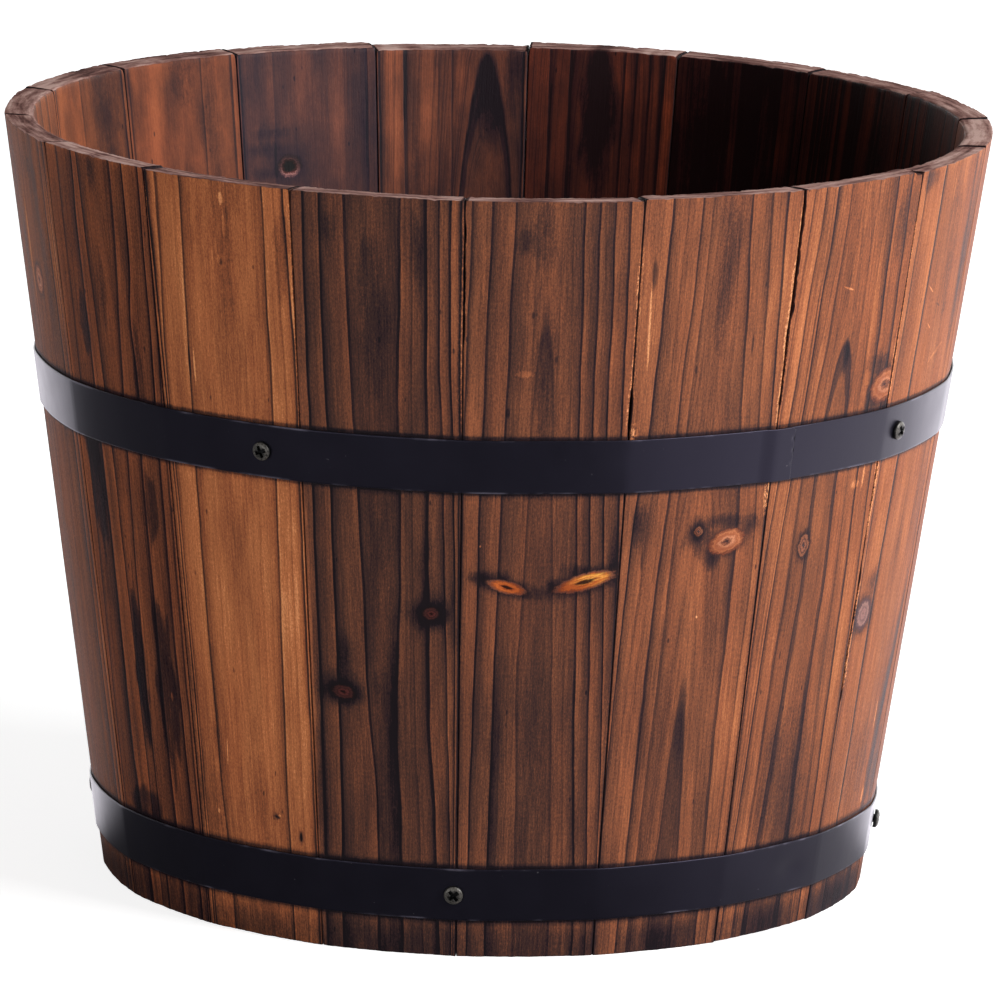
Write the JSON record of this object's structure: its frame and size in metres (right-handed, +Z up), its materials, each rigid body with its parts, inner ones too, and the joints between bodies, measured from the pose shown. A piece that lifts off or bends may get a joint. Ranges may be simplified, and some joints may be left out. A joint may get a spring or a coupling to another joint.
{
  "type": "barrel planter",
  "caption": "Round barrel planter of tapered wooden staves held by screwed steel hoops, with a raised boarded floor and drain holes.",
  "frame": {"origin": "centre of the ring of staves, on the ground", "axes": "+Z up, -Y to the front of the planter as pictured, +X along the floor boards"},
  "size_m": [0.4058, 0.4056, 0.315],
  "materials": {
    "staves": "charred and brushed, dark stained softwood",
    "floor": "rough sawn, stained softwood",
    "dowels": "plain turned hardwood",
    "hoops": "satin black paint on steel strap",
    "screws": "black oxide"
  },
  "bodies": {
    "root": {"stave_01": "staves", "stave_02": "staves", "stave_03": "staves", "stave_04": "staves", "stave_05": "staves", "stave_06": "staves", "stave_07": "staves", "stave_08": "staves", "stave_09": "staves", "stave_10": "staves", "stave_11": "staves", "stave_12": "staves", "stave_13": "staves", "stave_14": "staves", "stave_15": "staves", "stave_16": "staves", "stave_17": "staves", "stave_18": "staves", "floor_board_1": "floor", "floor_board_2": "floor", "floor_board_3": "floor", "floor_board_4": "floor", "floor_board_5": "floor", "floor_dowels": "dowels", "upper_hoop": "hoops", "lower_hoop": "hoops", "upper_hoop_screws": "screws", "lower_hoop_screws": "screws"}
  },
  "joints": []
}
